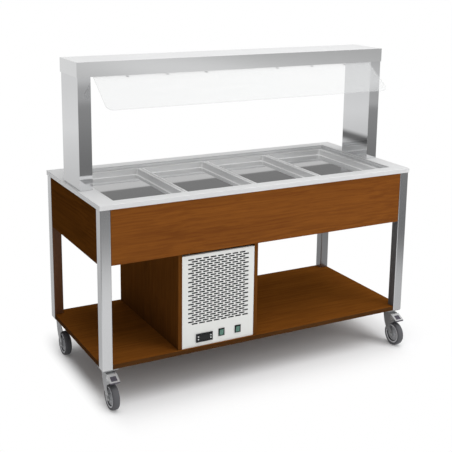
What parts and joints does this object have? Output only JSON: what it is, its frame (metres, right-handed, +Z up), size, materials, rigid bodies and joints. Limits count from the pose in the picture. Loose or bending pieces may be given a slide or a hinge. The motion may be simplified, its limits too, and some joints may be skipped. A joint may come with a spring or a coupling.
{
  "type": "cold buffet trolley",
  "caption": "Mobile cold buffet: refrigerated well with lift-out pans, lit canopy with a sloping clear guard, timber aprons and shelf, vented machine box, swivel casters with brakes.",
  "frame": {"origin": "on the floor, in the middle of the bounding box", "axes": "+X along the length to the right of someone who faces the controls, -Y towards the guard and the controls, +Z up"},
  "size_m": [1.48, 0.7096, 1.357],
  "materials": {
    "steel": "satin stainless steel",
    "pan_steel": "bright stainless steel",
    "wood": "satin brown laminate with a fine grain",
    "grey_paint": "light grey powder coat",
    "zinc": "zinc-plated pressed steel",
    "black_plastic": "black moulded plastic",
    "pale_plastic": "pale grey button caps",
    "green_plastic": "translucent green, lit",
    "clear": "clear polished sheet",
    "opal": "opal lamp cover",
    "foam_jacket": "skinned insulating foam",
    "black_paint": "black enamel",
    "fins": "bare finned block",
    "brass": "plain brass",
    "tyre_rubber": "grey non-marking rubber",
    "hub_plastic": "grey moulded plastic"
  },
  "bodies": {
    "trolley": {"worktop": "steel", "tank": "steel", "tank_casing": "foam_jacket", "drain_valve": "brass", "leg_front_left": "steel", "leg_front_right": "steel", "leg_back_left": "steel", "leg_back_right": "steel", "apron_front": "wood", "apron_back": "wood", "apron_left": "wood", "apron_right": "wood", "shelf": "wood", "box_side_left": "wood", "box_side_right": "wood", "vent_panel_front": "grey_paint", "vent_panel_back": "grey_paint", "post_left": "steel", "post_right": "steel", "canopy": "steel", "lamp_housing": "steel", "lamp_diffuser": "opal", "guard": "clear", "controller": "black_plastic", "switch_bezel_1": "black_plastic", "switch_bezel_2": "black_plastic", "unit_base": "zinc", "compressor": "black_paint", "condenser": "fins", "fan_motor": "black_paint", "caster_mount_front_left": "zinc", "caster_mount_front_right": "zinc", "caster_mount_back_left": "zinc", "caster_mount_back_right": "zinc"},
    "drain_lever": {"drain_lever": "zinc"},
    "fan": {"fan_blade": "black_plastic"},
    "pan_1": {"pan_1": "pan_steel"},
    "button_1": {"controller_button_1": "pale_plastic"},
    "pan_2": {"pan_2": "pan_steel"},
    "button_2": {"controller_button_2": "pale_plastic"},
    "pan_3": {"pan_3": "pan_steel"},
    "button_3": {"controller_button_3": "pale_plastic"},
    "pan_4": {"pan_4": "pan_steel"},
    "button_4": {"controller_button_4": "pale_plastic"},
    "rocker_1": {"switch_rocker_1": "green_plastic"},
    "rocker_2": {"switch_rocker_2": "green_plastic"},
    "fork_front_left": {"caster_fork_front_left": "zinc"},
    "wheel_front_left": {"wheel_hub_front_left": "hub_plastic", "wheel_tyre_front_left": "tyre_rubber"},
    "pedal_front_left": {"brake_pedal_front_left": "zinc"},
    "fork_front_right": {"caster_fork_front_right": "zinc"},
    "wheel_front_right": {"wheel_hub_front_right": "hub_plastic", "wheel_tyre_front_right": "tyre_rubber"},
    "pedal_front_right": {"brake_pedal_front_right": "zinc"},
    "fork_back_left": {"caster_fork_back_left": "zinc"},
    "wheel_back_left": {"wheel_hub_back_left": "hub_plastic", "wheel_tyre_back_left": "tyre_rubber"},
    "fork_back_right": {"caster_fork_back_right": "zinc"},
    "wheel_back_right": {"wheel_hub_back_right": "hub_plastic", "wheel_tyre_back_right": "tyre_rubber"}
  },
  "joints": [
    {"name": "swivel_front_left", "type": "hinge", "parent": "trolley", "child": "fork_front_left", "pos_m": [-0.7017, -0.26085, 0.165], "axis": [0, 0, 1], "continuous": true},
    {"name": "spin_front_left", "type": "hinge", "parent": "fork_front_left", "child": "wheel_front_left", "pos_m": [-0.7017, -0.30085, 0.054], "axis": [1, 0, 0], "continuous": true},
    {"name": "brake_front_left", "type": "hinge", "parent": "fork_front_left", "child": "pedal_front_left", "pos_m": [-0.7017, -0.30085, 0.1307], "axis": [1, 0, 0], "range_deg": [0, 12]},
    {"name": "swivel_front_right", "type": "hinge", "parent": "trolley", "child": "fork_front_right", "pos_m": [0.7017, -0.26085, 0.165], "axis": [0, 0, 1], "continuous": true},
    {"name": "spin_front_right", "type": "hinge", "parent": "fork_front_right", "child": "wheel_front_right", "pos_m": [0.7017, -0.30085, 0.054], "axis": [1, 0, 0], "continuous": true},
    {"name": "brake_front_right", "type": "hinge", "parent": "fork_front_right", "child": "pedal_front_right", "pos_m": [0.7017, -0.30085, 0.1307], "axis": [1, 0, 0], "range_deg": [0, 12]},
    {"name": "swivel_back_left", "type": "hinge", "parent": "trolley", "child": "fork_back_left", "pos_m": [-0.7017, 0.31655, 0.165], "axis": [0, 0, 1], "continuous": true},
    {"name": "spin_back_left", "type": "hinge", "parent": "fork_back_left", "child": "wheel_back_left", "pos_m": [-0.7017, 0.27655, 0.054], "axis": [1, 0, 0], "continuous": true},
    {"name": "swivel_back_right", "type": "hinge", "parent": "trolley", "child": "fork_back_right", "pos_m": [0.7017, 0.31655, 0.165], "axis": [0, 0, 1], "continuous": true},
    {"name": "spin_back_right", "type": "hinge", "parent": "fork_back_right", "child": "wheel_back_right", "pos_m": [0.7017, 0.27655, 0.054], "axis": [1, 0, 0], "continuous": true},
    {"name": "pan_1_lift", "type": "slide", "parent": "trolley", "child": "pan_1", "axis": [0, 0, 1], "range_m": [0, 0.1]},
    {"name": "pan_2_lift", "type": "slide", "parent": "trolley", "child": "pan_2", "axis": [0, 0, 1], "range_m": [0, 0.1]},
    {"name": "pan_3_lift", "type": "slide", "parent": "trolley", "child": "pan_3", "axis": [0, 0, 1], "range_m": [0, 0.1]},
    {"name": "pan_4_lift", "type": "slide", "parent": "trolley", "child": "pan_4", "axis": [0, 0, 1], "range_m": [0, 0.1]},
    {"name": "rocker_1_tip", "type": "hinge", "parent": "trolley", "child": "rocker_1", "pos_m": [-0.206, -0.28565, 0.229], "axis": [1, 0, 0], "range_deg": [-16, 0]},
    {"name": "rocker_2_tip", "type": "hinge", "parent": "trolley", "child": "rocker_2", "pos_m": [-0.1285, -0.28565, 0.229], "axis": [1, 0, 0], "range_deg": [-16, 0]},
    {"name": "button_1_press", "type": "slide", "parent": "trolley", "child": "button_1", "axis": [0, 1, 0], "range_m": [0, 0.001], "stiffness_N_per_m": 5, "springref_m": -0.0005},
    {"name": "button_2_press", "type": "slide", "parent": "trolley", "child": "button_2", "axis": [0, 1, 0], "range_m": [0, 0.001], "stiffness_N_per_m": 5, "springref_m": -0.0005},
    {"name": "button_3_press", "type": "slide", "parent": "trolley", "child": "button_3", "axis": [0, 1, 0], "range_m": [0, 0.001], "stiffness_N_per_m": 5, "springref_m": -0.0005},
    {"name": "button_4_press", "type": "slide", "parent": "trolley", "child": "button_4", "axis": [0, 1, 0], "range_m": [0, 0.001], "stiffness_N_per_m": 5, "springref_m": -0.0005},
    {"name": "fan_spin", "type": "hinge", "parent": "trolley", "child": "fan", "pos_m": [-0.2205, -0.16315, 0.3121], "axis": [0, 1, 0], "continuous": true},
    {"name": "drain_lever_turn", "type": "hinge", "parent": "trolley", "child": "drain_lever", "pos_m": [-0.22, 0.27085, 0.5465], "axis": [0, 1, 0], "range_deg": [0, 90]}
  ]
}
